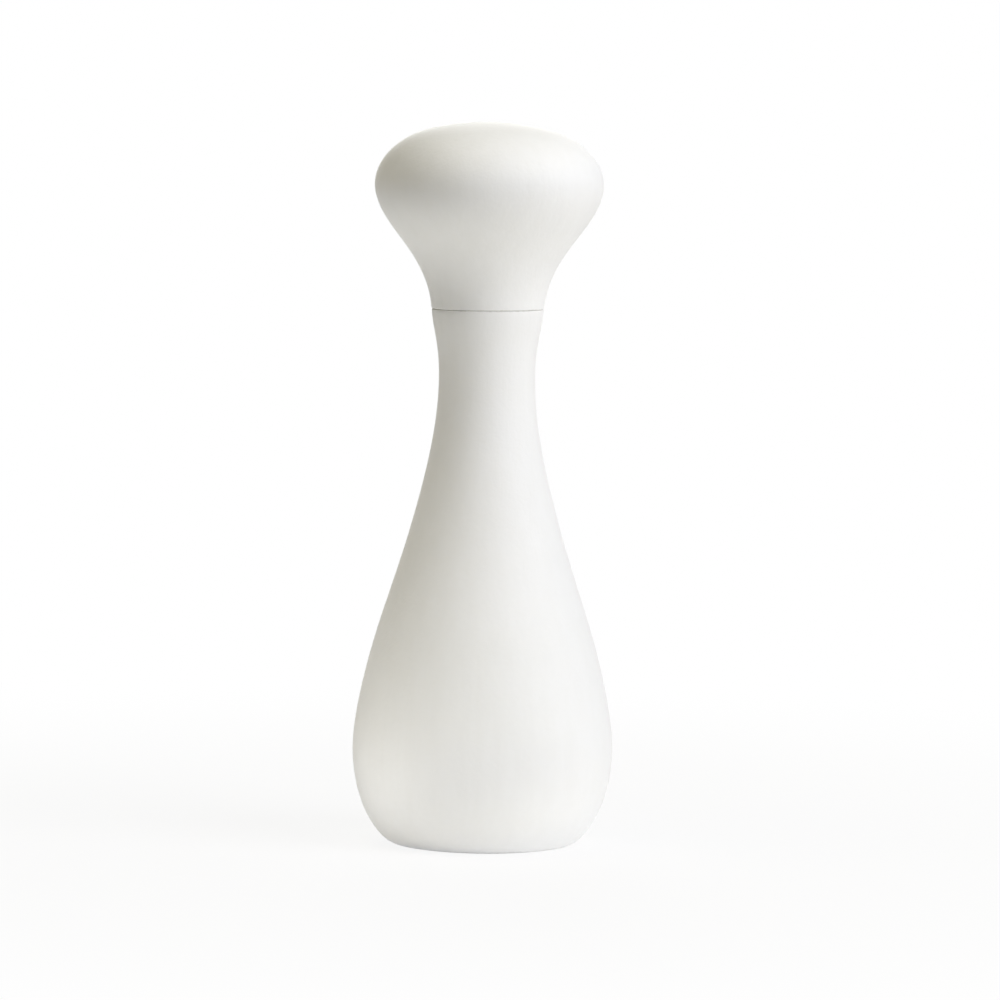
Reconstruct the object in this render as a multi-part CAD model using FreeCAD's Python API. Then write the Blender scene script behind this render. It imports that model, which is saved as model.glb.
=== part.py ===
import FreeCAD, Part
import math
import os

# Pepper mill. A turned and lacquered wooden body and head stand round a ceramic grinder.
# The head turns a square shaft, and the shaft turns a toothed cone inside a toothed ring.
# Millimetres, +Z up. The origin is the centre of the base, on the grinding axis.

# Outside form, as radii and heights
HEIGHT = 200.0
BASE_RADIUS = 24.0
BELLY_RADIUS = 36.1
BELLY_HEIGHT = 25.5
WAIST_RADIUS = 13.25
WAIST_HEIGHT = 129.0
NECK_RADIUS = 15.5
HEAD_NECK_RADIUS = 15.6
CROWN_RADIUS = 31.6
CROWN_HEIGHT = 183.2
HEAD_BOTTOM = 148.6
SEAM_GAP = 0.35
SEAM_ROUND = 0.4
BODY_TOP = HEAD_BOTTOM - SEAM_GAP

# Half outline of the body from the foot to the neck, and of the head from the neck to the crown
BODY_OUTLINE = [
    (BASE_RADIUS, 0.0),
    (29.8, 4.2),
    (34.1, 12.9),
    (BELLY_RADIUS, BELLY_HEIGHT),
    (34.7, 38.9),
    (29.8, 58.8),
    (23.4, 78.8),
    (17.75, 98.9),
    (14.2, 116.9),
    (WAIST_RADIUS, WAIST_HEIGHT),
    (13.95, 139.0),
    (NECK_RADIUS, BODY_TOP - SEAM_ROUND),
]
HEAD_OUTLINE = [
    (HEAD_NECK_RADIUS, HEAD_BOTTOM + SEAM_ROUND),
    (17.2, 155.8),
    (22.8, 165.8),
    (29.2, 174.8),
    (CROWN_RADIUS, CROWN_HEIGHT),
    (29.4, 189.5),
    (21.8, 196.0),
    (12.0, 198.9),
    (0.0, HEIGHT),
]

# Room between pieces: those that slide or turn on each other, those that are seated,
# and what is left beyond a screw's tip. A cutter overruns the face that it opens.
RUNNING = 0.1
SEATED = 0.05
TIP_ROOM = 0.2
OVERRUN = 1.0

# Rounding of edges
FINE_EDGE = 0.15
EDGE = 0.3
SOFT_EDGE = 0.8

# Bores in the body, drilled from below and from the neck
RECESS_RADIUS = 21.0
RECESS_DEPTH = 8.0
RECESS_BREAK = 0.6
HOPPER_RADIUS = 15.5
HOPPER_TOP = 84.0
NECK_BORE_RADIUS = 9.5
NECK_BORE_BOTTOM = 90.0
COLLAR_WALL = 1.25
COLLAR_BOTTOM = 140.0
COLLAR_FLANGE_RADIUS = 13.2
COLLAR_FLANGE_THICKNESS = 1.6
COLLAR_PROUD = 0.25

# Socket in the head for the square shaft
INSERT_RADIUS = 8.0
INSERT_TOP = 171.5
INSERT_FLANGE_RADIUS = 13.0
INSERT_FLANGE_THICKNESS = 1.25
INSERT_FLANGE_BOTTOM = HEAD_BOTTOM - SEATED
INSERT_BORE_TOP = 173.0
SPIGOT_RADIUS = NECK_BORE_RADIUS - RUNNING
SPIGOT_BOTTOM = 138.5
SPIGOT_WALL = 2.0
SPIGOT_ROOF = 147.2
LEAD_IN_RADIUS = 4.5
SEAL_HEIGHT = 144.2
SEAL_THICKNESS = 1.2
GRIP_HEIGHT = 160.0
GRIP_WIRE = 1.0
GRIP_LEG_END = -5.5
GRIP_LEG_START = 3.3

# Small screws: those that hold the socket in the head, and those that hold the grinder in the body
SCREW_COUNT = 3
INSERT_SCREW_CIRCLE = 11.2
INSERT_SCREW_HEAD = 1.65
INSERT_SCREW_SHANK = 0.85
INSERT_SCREW_TOP = 158.0
INSERT_SCREW_ANGLE = 30.0
HOUSING_SCREW_CIRCLE = 18.2
HOUSING_SCREW_HEAD = 1.9
HOUSING_SCREW_HEAD_HEIGHT = 1.3
HOUSING_SCREW_DOME = 0.6
HOUSING_SCREW_SHANK = 1.1
HOUSING_SCREW_TOP = 15.0
HOUSING_SCREW_ANGLE = 90.0
SCREW_POINT = 0.1
SLOT_WIDTH = 0.45
SLOT_DEPTH = 0.5
SLOT_REACH = 0.6

# Square shaft, with a round thread at its lower end
SHAFT_WIDTH = 5.0
SHAFT_CORNER_RADIUS = 3.3
SHAFT_BOTTOM = 1.6
SHAFT_TOP = 169.5
SHAFT_POINT = 2.2
SHAFT_POINT_RADIUS = 1.6
THREAD_RADIUS = 2.45
THREAD_TOP = 9.3
THREAD_PITCH = 0.8
THREAD_DEPTH = 0.35
THREAD_CREST = 0.2

# Grinder housing, screwed into the recess
HOUSING_RADIUS = 15.35
HOUSING_INNER = 13.9
HOUSING_UPPER_INNER = 13.3
HOUSING_TOP = 37.0
FLANGE_RADIUS = 20.8
FLANGE_BOTTOM = 6.4
FLANGE_TOP = RECESS_DEPTH - SEATED
LEDGE_INNER = 12.3
LEDGE_HEIGHT = 1.0
LEDGE_SLOPE = 1.6
BRIDGE_SEAT = 35.5
BRIDGE_SEAT_RADIUS = 14.4
MARK_RADII = (0.5, 0.75, 1.0)
MARK_HEIGHT = 0.3
MARK_ANGLE = 246.0
MARK_STEP = 12.0

# Toothed ring and toothed cone
STATOR_RADIUS = 13.8
STATOR_BOTTOM = 9.8
STATOR_TOP = 24.1
STATOR_TEETH = 20
STATOR_LAND = 1.0
STATOR_TWIST = -9.0
STATOR_EASE = 0.25
STATOR_MOUTH = 9.35
KEY_COUNT = 3
KEY_WIDTH = 3.0
KEY_DEPTH = 0.7
ROTOR_BOTTOM = 9.5
ROTOR_TOP = 24.0
ROTOR_TEETH = 16
ROTOR_MIDDLE_TWIST = 14.0
ROTOR_TOP_TWIST = 34.0
GRIND_GAP = 0.55
GRIND_BASE_RADIUS = 10.3
GRIND_MIDDLE_HEIGHT = 17.0
GRIND_MIDDLE_RADIUS = 7.9
GRIND_TOP_RADIUS = 5.4
FINE_TOOTH = 0.8
COARSE_TOOTH = 1.5
TOOTH_LEAN = 0.72
RETAINER_INNER = 12.05
RETAINER_BOTTOM = 6.9
RETAINER_NOTCH_WIDTH = 2.4
RETAINER_NOTCH_TOP = 7.9
RETAINER_NOTCH_ANGLE = 30.0

# Feed screw on top of the cone
FEED_TOP = 29.0
FEED_HUB_RADIUS = 4.7
FEED_FOOT_RADIUS = 5.3
FEED_FOOT_HEIGHT = 2.0
FEED_VANES = 3
FEED_VANE_FOOT_RADIUS = 7.2
FEED_VANE_TOP_RADIUS = 9.4
FEED_VANE_THICKNESS = 1.8
FEED_VANE_ROOT = 3.5
FEED_VANE_TWIST = 50.0
FEED_VANE_DROP = 0.8

# Bridge, bush, washers, spring and clips on the shaft
BRIDGE_RIM_WIDTH = 1.9
BRIDGE_HUB_BOTTOM = 35.9
BRIDGE_HUB_TOP = 39.5
BRIDGE_HUB_RADIUS = 6.3
BRIDGE_ARMS = 3
BRIDGE_ARM_WIDTH = 3.2
BRIDGE_ARM_BOTTOM = 36.1
BRIDGE_ARM_TOP = 38.6
BRIDGE_ARM_ROOT = 0.6
BRIDGE_ARM_ANGLE = 90.0
BUSH_RADIUS = 4.3
WASHER_THICKNESS = 0.6
WASHER_RADIUS = 6.0
SPRING_WIRE = 0.8
SPRING_RADIUS = 4.6
SPRING_TURNS = 4
SPRING_SPOTS = 48
CLIP_BOTTOM = BRIDGE_HUB_TOP + WASHER_THICKNESS + 2 * SEATED
CLIP_THICKNESS = 0.7
CLIP_RADIUS = 5.2
CLIP_GROOVE_RADIUS = 2.1
CLIP_MOUTH = 0.8
END_CLIP_RADIUS = 4.0
END_CLIP_BOTTOM = 2.2
END_CLIP_GROOVE_RADIUS = 1.7

# Adjuster: a lobed knob moulded round a brass nut
KNOB_BOTTOM = 1.0
KNOB_TOP = 8.2
KNOB_RADIUS = 8.2
KNOB_ROUND = 1.2
KNOB_LOBES = 8
KNOB_SCALLOP_RADIUS = 1.9
KNOB_SCALLOP_CIRCLE = 9.2
KNOB_POCKET_RADIUS = 4.8
NUT_BOTTOM = 3.6
NUT_ACROSS_FLATS = 8.0
CLICK_BOTTOM = 8.3
CLICK_THICKNESS = 0.4
CLICK_RADIUS = 6.6
CLICK_HOLE_RADIUS = 3.65
CLICK_CIRCLE = 5.4
CLICK_DIMPLE = 0.55
CLICK_NOTCHES = 16
CLICK_NOTCH_WIDTH = 0.9
CLICK_NOTCH_LENGTH = 2.4
CLICK_NOTCH_DEPTH = 0.5

AXIS_POINT = FreeCAD.Vector(0, 0, 0)
UP = FreeCAD.Vector(0, 0, 1)


# Drawing helpers


def at(radius, height):
    """A point of a half outline."""
    return FreeCAD.Vector(radius, 0, height)


def line(start, end):
    return Part.LineSegment(at(*start), at(*end)).toShape()


def path(points):
    """Straight edges from point to point."""
    return [line(a, b) for a, b in zip(points, points[1:])]


def bend(start, corner, end):
    """The round arc from start to end that is tangent to both lines through the corner."""
    turn = (corner - start).getAngle(end - corner)
    weight = math.cos(turn / 2)
    middle = (start + end + corner * (2 * weight)) * (1 / (2 + 2 * weight))
    return Part.Arc(start, middle, end).toShape()


def smooth(points, start_direction, end_direction):
    """One smooth curve through the points of a half outline."""
    curve = Part.BSplineCurve()
    curve.interpolate(
        Points=[at(*p) for p in points],
        InitialTangent=at(*start_direction),
        FinalTangent=at(*end_direction),
    )
    return curve.toShape()


def lathe(edges):
    """A solid of revolution from the closed edges of a half outline."""
    return Part.Face(Part.Wire(edges)).revolve(AXIS_POINT, UP, 360)


def turned(corners):
    """A solid of revolution from corners given as radius, height and the rounding of that corner."""
    edges = []
    ends = []
    for i, (radius, height, rounding) in enumerate(corners):
        corner = at(radius, height)
        if not rounding:
            ends.append((corner, corner))
            continue
        before = at(*corners[i - 1][:2]) - corner
        after = at(*corners[(i + 1) % len(corners)][:2]) - corner
        reach = rounding / math.tan(before.getAngle(after) / 2)
        first = corner + before.normalize() * reach
        last = corner + after.normalize() * reach
        edges.append(bend(first, corner, last))
        ends.append((first, last))
    for i, (_, leave) in enumerate(ends):
        arrive = ends[(i + 1) % len(ends)][0]
        edges.append(Part.LineSegment(leave, arrive).toShape())
    return lathe(Part.__sortEdges__(edges))


def rod(radius, bottom, top, x=0.0):
    return Part.makeCylinder(radius, top - bottom, FreeCAD.Vector(x, 0, bottom))


def box(x, y, z):
    """A block between two limits along each axis."""
    corner = FreeCAD.Vector(x[0], y[0], z[0])
    return Part.makeBox(x[1] - x[0], y[1] - y[0], z[1] - z[0], corner)


def square_bar(width, bottom, top):
    half = width / 2
    return box((-half, half), (-half, half), (bottom, top))


def around(shape, count, first_angle=0.0):
    """Copies of a shape, evenly spaced round the axis."""
    copies = []
    for i in range(count):
        turned_copy = shape.copy()
        turned_copy.rotate(AXIS_POINT, UP, first_angle + 360.0 * i / count)
        copies.append(turned_copy)
    return copies


def polygon(points, height):
    """A closed flat wire through points given in the plane."""
    corners = [FreeCAD.Vector(x, y, height) for x, y in points]
    return Part.makePolygon(corners + corners[:1])


def star(count, height, tip, root, turn):
    """A toothed outline with leaning teeth, at one height."""
    points = []
    for i in range(count):
        for radius, share in ((tip, 0.0), (root, TOOTH_LEAN)):
            angle = math.radians(turn) + 2 * math.pi * (i + share) / count
            points.append((radius * math.cos(angle), radius * math.sin(angle)))
    return polygon(points, height)


def toothed(count, sections):
    """A solid through toothed outlines, each given as height, tip radius, root radius and turn."""
    return Part.makeLoft([star(count, *s) for s in sections], True, True)


def cross_slot(x, bottom, reach):
    """The driver slot in the underside of a small screw."""
    half = SLOT_WIDTH / 2
    levels = (bottom - OVERRUN, bottom + SLOT_DEPTH)
    along = box((x - reach, x + reach), (-half, half), levels)
    across = box((x - half, x + half), (-reach, reach), levels)
    return along.fuse(across)


def open_ring(outer, inner, bottom):
    """A spring clip: a flat ring with a mouth on one side."""
    top = bottom + CLIP_THICKNESS
    half_mouth = inner * CLIP_MOUTH
    mouth = box((0, outer + OVERRUN), (-half_mouth, half_mouth), (bottom, top))
    return rod(outer, bottom, top).cut([rod(inner, bottom, top), mouth])


def save(name, shape):
    """Writes one piece and says what it measures."""
    if not shape.isValid():
        raise ValueError(name + " is not a valid solid")
    shape.exportStep(os.path.join("parts", name + ".step"))
    print(f"{name}: {len(shape.Solids)} solids, {shape.Volume:.1f} mm3")


# Lacquered wooden shells


def turned_body():
    """The whole turned body: one smooth outside, and stepped bores for the pepper and the grinder."""
    collar_bore = NECK_BORE_RADIUS + COLLAR_WALL + SEATED
    flange_bore = COLLAR_FLANGE_RADIUS + SEATED
    flange_seat = BODY_TOP + COLLAR_PROUD - COLLAR_FLANGE_THICKNESS
    rim = (NECK_RADIUS - SEAM_ROUND, BODY_TOP)
    outside = [
        line((RECESS_RADIUS + RECESS_BREAK, 0.0), BODY_OUTLINE[0]),
        smooth(BODY_OUTLINE, (1.0, 0.0), (0.2, 1.0)),
        bend(at(*BODY_OUTLINE[-1]), at(NECK_RADIUS, BODY_TOP), at(*rim)),
    ]
    inside = path(
        [
            rim,
            (flange_bore, BODY_TOP),
            (flange_bore, flange_seat),
            (collar_bore, flange_seat),
            (collar_bore, COLLAR_BOTTOM),
            (NECK_BORE_RADIUS, COLLAR_BOTTOM),
            (NECK_BORE_RADIUS, NECK_BORE_BOTTOM),
            (HOPPER_RADIUS, HOPPER_TOP),
            (HOPPER_RADIUS, RECESS_DEPTH),
            (RECESS_RADIUS, RECESS_DEPTH),
            (RECESS_RADIUS, RECESS_BREAK),
            (RECESS_RADIUS + RECESS_BREAK, 0.0),
        ]
    )
    return lathe(outside + inside)


def body_shell():
    """The body from its foot to the top of the hopper, with pilot holes for the grinder's screws."""
    pilot = rod(HOUSING_SCREW_SHANK + SEATED, 0, HOUSING_SCREW_TOP + TIP_ROOM, HOUSING_SCREW_CIRCLE)
    below_neck = rod(BELLY_RADIUS + OVERRUN, 0, NECK_BORE_BOTTOM)
    return turned_body().common(below_neck).cut(around(pilot, SCREW_COUNT, HOUSING_SCREW_ANGLE))


def neck_shell():
    """The body's slim neck, above the hopper, with its straight bore and the collar's seat."""
    return turned_body().common(rod(BELLY_RADIUS + OVERRUN, NECK_BORE_BOTTOM, HEAD_BOTTOM))


def head_shell():
    """The turned head: a flaring neck under a low round crown, bored for its socket."""
    rim = (HEAD_NECK_RADIUS - SEAM_ROUND, HEAD_BOTTOM)
    bore = INSERT_RADIUS + SEATED
    flange_bore = INSERT_FLANGE_RADIUS + SEATED
    flange_seat = HEAD_BOTTOM + INSERT_FLANGE_THICKNESS
    outside = [
        bend(at(*rim), at(HEAD_NECK_RADIUS, HEAD_BOTTOM), at(*HEAD_OUTLINE[0])),
        smooth(HEAD_OUTLINE, (0.1, 1.0), (-1.0, 0.0)),
    ]
    inside = path(
        [
            (0.0, HEIGHT),
            (0.0, INSERT_BORE_TOP),
            (bore, INSERT_BORE_TOP),
            (bore, flange_seat),
            (flange_bore, flange_seat),
            (flange_bore, HEAD_BOTTOM),
            rim,
        ]
    )
    pilot_top = INSERT_SCREW_TOP + TIP_ROOM
    pilot = rod(INSERT_SCREW_SHANK + SEATED, HEAD_BOTTOM, pilot_top, INSERT_SCREW_CIRCLE)
    return lathe(outside + inside).cut(around(pilot, SCREW_COUNT, INSERT_SCREW_ANGLE))


# Neck collar, and the socket, screws, seal and clip in the head


def neck_collar():
    """The plastic liner of the neck. The head rides on its flange, which sets the seam's gap."""
    outer = NECK_BORE_RADIUS + COLLAR_WALL
    bottom = COLLAR_BOTTOM + SEATED
    top = BODY_TOP + COLLAR_PROUD
    flange_bottom = top - COLLAR_FLANGE_THICKNESS + SEATED
    return turned(
        [
            (NECK_BORE_RADIUS, bottom, 0),
            (outer, bottom, EDGE),
            (outer, flange_bottom, 0),
            (COLLAR_FLANGE_RADIUS, flange_bottom, 0),
            (COLLAR_FLANGE_RADIUS, top, FINE_EDGE),
            (NECK_BORE_RADIUS, top, EDGE),
        ]
    )


def head_insert():
    """The socket in the head: a flange, a square hole for the shaft and a spigot for the neck."""
    spigot_inner = SPIGOT_RADIUS - SPIGOT_WALL
    flange_top = HEAD_BOTTOM + INSERT_FLANGE_THICKNESS - SEATED
    groove_floor = SPIGOT_RADIUS - SEAL_THICKNESS
    groove_low = SEAL_HEIGHT - SEAL_THICKNESS / 2 - SEATED
    groove_high = SEAL_HEIGHT + SEAL_THICKNESS / 2 + SEATED
    socket = turned(
        [
            (0, SPIGOT_ROOF, 0),
            (spigot_inner, SPIGOT_ROOF, SOFT_EDGE),
            (spigot_inner, SPIGOT_BOTTOM, EDGE),
            (SPIGOT_RADIUS, SPIGOT_BOTTOM, SOFT_EDGE),
            (SPIGOT_RADIUS, groove_low, FINE_EDGE),
            (groove_floor, groove_low, 0),
            (groove_floor, groove_high, 0),
            (SPIGOT_RADIUS, groove_high, FINE_EDGE),
            (SPIGOT_RADIUS, INSERT_FLANGE_BOTTOM, 0),
            (INSERT_FLANGE_RADIUS, INSERT_FLANGE_BOTTOM, FINE_EDGE),
            (INSERT_FLANGE_RADIUS, flange_top, 0),
            (INSERT_RADIUS, flange_top, 0),
            (INSERT_RADIUS, INSERT_TOP, SOFT_EDGE),
            (0, INSERT_TOP, 0),
        ]
    )
    hole = square_bar(SHAFT_WIDTH + 2 * RUNNING, SPIGOT_ROOF - OVERRUN, INSERT_TOP + OVERRUN)
    flat = SHAFT_WIDTH / 2
    lead_in = Part.makeCone(LEAD_IN_RADIUS, flat, LEAD_IN_RADIUS - flat, at(0, SPIGOT_ROOF))
    slot_half = GRIP_WIRE / 2 + RUNNING
    slot_levels = (GRIP_HEIGHT - slot_half, GRIP_HEIGHT + slot_half)
    slot_side = grip_leg_place() - slot_half
    outside = INSERT_RADIUS + OVERRUN
    side_slot = box((slot_side, outside), (-outside, outside), slot_levels)
    back_slot = box((-outside, outside), (flat, outside), slot_levels)
    screw_way = rod(
        INSERT_SCREW_SHANK + SEATED,
        INSERT_FLANGE_BOTTOM - OVERRUN,
        flange_top + OVERRUN,
        INSERT_SCREW_CIRCLE,
    )
    cutters = [hole, lead_in, back_slot] + around(side_slot, 2)
    for screw_hole in (screw_way, insert_screw_head(SEATED)):
        cutters += around(screw_hole, SCREW_COUNT, INSERT_SCREW_ANGLE)
    return socket.cut(cutters)


def insert_screw_head(room=0.0):
    """The countersunk head of one screw in the flange, or with room round it, its seat."""
    taper = INSERT_SCREW_HEAD - INSERT_SCREW_SHANK
    place = at(INSERT_SCREW_CIRCLE, HEAD_BOTTOM - room)
    return Part.makeCone(INSERT_SCREW_HEAD + room, INSERT_SCREW_SHANK + room, taper, place)


def insert_screws():
    """Three countersunk screws, up through the flange into the head."""
    tip_bottom = INSERT_SCREW_TOP - 2 * INSERT_SCREW_SHANK
    shank = rod(INSERT_SCREW_SHANK, HEAD_BOTTOM, tip_bottom, INSERT_SCREW_CIRCLE)
    tip_place = at(INSERT_SCREW_CIRCLE, tip_bottom)
    tip = Part.makeCone(INSERT_SCREW_SHANK, SCREW_POINT, INSERT_SCREW_TOP - tip_bottom, tip_place)
    slot = cross_slot(INSERT_SCREW_CIRCLE, HEAD_BOTTOM, INSERT_SCREW_HEAD * SLOT_REACH)
    screw = insert_screw_head().fuse([shank, tip]).removeSplitter().cut(slot)
    return Part.makeCompound(around(screw, SCREW_COUNT, INSERT_SCREW_ANGLE))


def spigot_seal():
    """The rubber ring in the spigot's groove. It centres the head in the collar."""
    ring_radius = NECK_BORE_RADIUS - RUNNING / 2 - SEAL_THICKNESS / 2
    return Part.makeTorus(ring_radius, SEAL_THICKNESS / 2, at(0, SEAL_HEIGHT))


def grip_leg_place():
    """How far each leg of the grip clip stands from the axis."""
    return SHAFT_WIDTH / 2 + SEATED + GRIP_WIRE / 2


def grip_clip():
    """A hairpin of spring wire in the socket, whose legs press on two flats of the shaft."""
    leg = grip_leg_place()
    start = FreeCAD.Vector(-leg, GRIP_LEG_END, GRIP_HEIGHT)
    bend_in = FreeCAD.Vector(-leg, GRIP_LEG_START, GRIP_HEIGHT)
    bend_top = FreeCAD.Vector(0, GRIP_LEG_START + leg, GRIP_HEIGHT)
    bend_out = FreeCAD.Vector(leg, GRIP_LEG_START, GRIP_HEIGHT)
    end = FreeCAD.Vector(leg, GRIP_LEG_END, GRIP_HEIGHT)
    route = Part.Wire(
        [
            Part.LineSegment(start, bend_in).toShape(),
            Part.Arc(bend_in, bend_top, bend_out).toShape(),
            Part.LineSegment(bend_out, end).toShape(),
        ]
    )
    section = Part.Wire(Part.makeCircle(GRIP_WIRE / 2, start, FreeCAD.Vector(0, 1, 0)))
    return route.makePipeShell([section], True, False)


# Grinder housing and what is fixed in it


def mill_housing():
    """The plastic barrel of the grinder, with a screw flange at the foot and keys for the ring."""
    ledge_bottom = STATOR_TOP + SEATED
    ledge_top = ledge_bottom + LEDGE_HEIGHT
    barrel = turned(
        [
            (HOUSING_INNER, FLANGE_BOTTOM, EDGE),
            (FLANGE_RADIUS, FLANGE_BOTTOM, EDGE),
            (FLANGE_RADIUS, FLANGE_TOP, 0),
            (HOUSING_RADIUS, FLANGE_TOP, 0),
            (HOUSING_RADIUS, HOUSING_TOP, EDGE),
            (BRIDGE_SEAT_RADIUS, HOUSING_TOP, FINE_EDGE),
            (BRIDGE_SEAT_RADIUS, BRIDGE_SEAT, 0),
            (HOUSING_UPPER_INNER, BRIDGE_SEAT, 0),
            (HOUSING_UPPER_INNER, ledge_top + LEDGE_SLOPE, 0),
            (LEDGE_INNER, ledge_top, 0),
            (LEDGE_INNER, ledge_bottom, 0),
            (HOUSING_INNER, ledge_bottom, 0),
        ]
    )
    half_key = KEY_WIDTH / 2
    key_reach = (HOUSING_INNER - KEY_DEPTH, HOUSING_INNER + KEY_DEPTH)
    key = box(key_reach, (-half_key, half_key), (STATOR_BOTTOM, ledge_top))
    hole = rod(HOUSING_SCREW_SHANK + RUNNING, FLANGE_BOTTOM, FLANGE_TOP, HOUSING_SCREW_CIRCLE)
    marks = []
    for i, radius in enumerate(MARK_RADII):
        mark = rod(radius, FLANGE_BOTTOM - MARK_HEIGHT, FLANGE_TOP, HOUSING_SCREW_CIRCLE)
        mark.rotate(AXIS_POINT, UP, MARK_ANGLE + MARK_STEP * i)
        marks.append(mark)
    solid = barrel.fuse(around(key, KEY_COUNT) + marks).removeSplitter()
    return solid.cut(around(hole, SCREW_COUNT, HOUSING_SCREW_ANGLE))


def housing_screws():
    """Three pan-head screws, up through the flange into the wood."""
    head_top = FLANGE_BOTTOM - SEATED
    head_bottom = head_top - HOUSING_SCREW_HEAD_HEIGHT
    blank = turned(
        [
            (0, head_bottom, 0),
            (HOUSING_SCREW_HEAD, head_bottom, HOUSING_SCREW_DOME),
            (HOUSING_SCREW_HEAD, head_top, FINE_EDGE),
            (HOUSING_SCREW_SHANK, head_top, 0),
            (HOUSING_SCREW_SHANK, HOUSING_SCREW_TOP - 2 * HOUSING_SCREW_SHANK, 0),
            (SCREW_POINT, HOUSING_SCREW_TOP, 0),
            (0, HOUSING_SCREW_TOP, 0),
        ]
    )
    screw = blank.cut(cross_slot(0, head_bottom, HOUSING_SCREW_HEAD * SLOT_REACH))
    screw.translate(at(HOUSING_SCREW_CIRCLE, 0))
    return Part.makeCompound(around(screw, SCREW_COUNT, HOUSING_SCREW_ANGLE))


def stator():
    """The ceramic ring: a toothed funnel inside, and notches outside for the housing's keys."""
    ring = rod(STATOR_RADIUS, STATOR_BOTTOM, STATOR_TOP)
    low = GRIND_BASE_RADIUS + GRIND_GAP
    middle = GRIND_MIDDLE_RADIUS + GRIND_GAP + STATOR_EASE
    funnel = [
        (STATOR_BOTTOM - OVERRUN, low, low + FINE_TOOTH, 0.0),
        (STATOR_BOTTOM + STATOR_LAND, low, low + FINE_TOOTH, 0.0),
        (GRIND_MIDDLE_HEIGHT, middle, middle + FINE_TOOTH, STATOR_TWIST),
        (STATOR_TOP + OVERRUN, STATOR_MOUTH, STATOR_MOUTH + COARSE_TOOTH, 2 * STATOR_TWIST),
    ]
    half_notch = KEY_WIDTH / 2 + SEATED
    notch_reach = (STATOR_RADIUS - KEY_DEPTH, STATOR_RADIUS + OVERRUN)
    notch = box(notch_reach, (-half_notch, half_notch), (STATOR_BOTTOM, STATOR_TOP))
    return ring.cut(around(notch, KEY_COUNT)).cut(toothed(STATOR_TEETH, funnel))


def stator_retainer():
    """The ring that locks the ceramic ring in the housing, with three notches for a key."""
    outer = HOUSING_INNER - SEATED
    top = STATOR_BOTTOM - SEATED
    ring = turned(
        [
            (RETAINER_INNER, RETAINER_BOTTOM, EDGE),
            (outer, RETAINER_BOTTOM, FINE_EDGE),
            (outer, top, 0),
            (RETAINER_INNER, top, 0),
        ]
    )
    half_notch = RETAINER_NOTCH_WIDTH / 2
    notch_middle = (RETAINER_INNER + outer) / 2
    notch_levels = (RETAINER_BOTTOM - OVERRUN, RETAINER_NOTCH_TOP)
    notch = box((0, notch_middle), (-half_notch, half_notch), notch_levels)
    return ring.cut(around(notch, KEY_COUNT, RETAINER_NOTCH_ANGLE))


def shaft_bridge():
    """The spider on top of the housing: a rim, three arms and a hub for the shaft's bush."""
    rim_outer = BRIDGE_SEAT_RADIUS - SEATED
    rim_inner = rim_outer - BRIDGE_RIM_WIDTH
    rim = turned(
        [
            (rim_inner, BRIDGE_SEAT + SEATED, 0),
            (rim_outer, BRIDGE_SEAT + SEATED, 0),
            (rim_outer, HOUSING_TOP, EDGE),
            (rim_inner, HOUSING_TOP, EDGE),
        ]
    )
    hub_bore = BUSH_RADIUS + RUNNING / 2
    hub = turned(
        [
            (hub_bore, BRIDGE_HUB_BOTTOM, FINE_EDGE),
            (BRIDGE_HUB_RADIUS, BRIDGE_HUB_BOTTOM, EDGE),
            (BRIDGE_HUB_RADIUS, BRIDGE_HUB_TOP, SOFT_EDGE),
            (hub_bore, BRIDGE_HUB_TOP, FINE_EDGE),
        ]
    )
    half_arm = BRIDGE_ARM_WIDTH / 2
    arm_reach = (BRIDGE_HUB_RADIUS - BRIDGE_ARM_ROOT, rim_inner + BRIDGE_ARM_ROOT)
    arm = box(arm_reach, (-half_arm, half_arm), (BRIDGE_ARM_BOTTOM, BRIDGE_ARM_TOP))
    return rim.fuse([hub] + around(arm, BRIDGE_ARMS, BRIDGE_ARM_ANGLE)).removeSplitter()


# Shaft and what turns with it


def drive_shaft():
    """The square bar from the knob to the head, pointed on top and threaded at the foot."""
    point_bottom = SHAFT_TOP - SHAFT_POINT
    bar = square_bar(SHAFT_WIDTH, THREAD_TOP, SHAFT_TOP)
    drawn = rod(SHAFT_CORNER_RADIUS, THREAD_TOP, point_bottom)
    point = Part.makeCone(SHAFT_CORNER_RADIUS, SHAFT_POINT_RADIUS, SHAFT_POINT, at(0, point_bottom))
    root = THREAD_RADIUS - THREAD_DEPTH
    end_groove_low = END_CLIP_BOTTOM - SEATED
    end_groove_high = END_CLIP_BOTTOM + CLIP_THICKNESS + SEATED
    thread = [
        (0, SHAFT_BOTTOM, 0),
        (END_CLIP_GROOVE_RADIUS, SHAFT_BOTTOM, 0),
        (root, SHAFT_BOTTOM + THREAD_DEPTH, 0),
        (root, end_groove_low, 0),
        (END_CLIP_GROOVE_RADIUS, end_groove_low, 0),
        (END_CLIP_GROOVE_RADIUS, end_groove_high, 0),
    ]
    flank = (1 - THREAD_CREST) / 2
    ridges = int((THREAD_TOP - end_groove_high) / THREAD_PITCH)
    for i in range(ridges):
        height = end_groove_high + i * THREAD_PITCH
        thread.append((root, height, 0))
        thread.append((THREAD_RADIUS, height + flank * THREAD_PITCH, 0))
        thread.append((THREAD_RADIUS, height + (1 - flank) * THREAD_PITCH, 0))
    thread.append((root, end_groove_high + ridges * THREAD_PITCH, 0))
    thread.append((root, THREAD_TOP + EDGE, 0))
    thread.append((0, THREAD_TOP + EDGE, 0))
    groove_low = CLIP_BOTTOM - SEATED
    groove_high = CLIP_BOTTOM + CLIP_THICKNESS + SEATED
    core = rod(CLIP_GROOVE_RADIUS, groove_low, groove_high)
    groove = rod(SHAFT_WIDTH, groove_low, groove_high).cut(core)
    shaft = bar.common(drawn.fuse(point)).fuse(turned(thread)).removeSplitter()
    return shaft.cut(groove)


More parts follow.
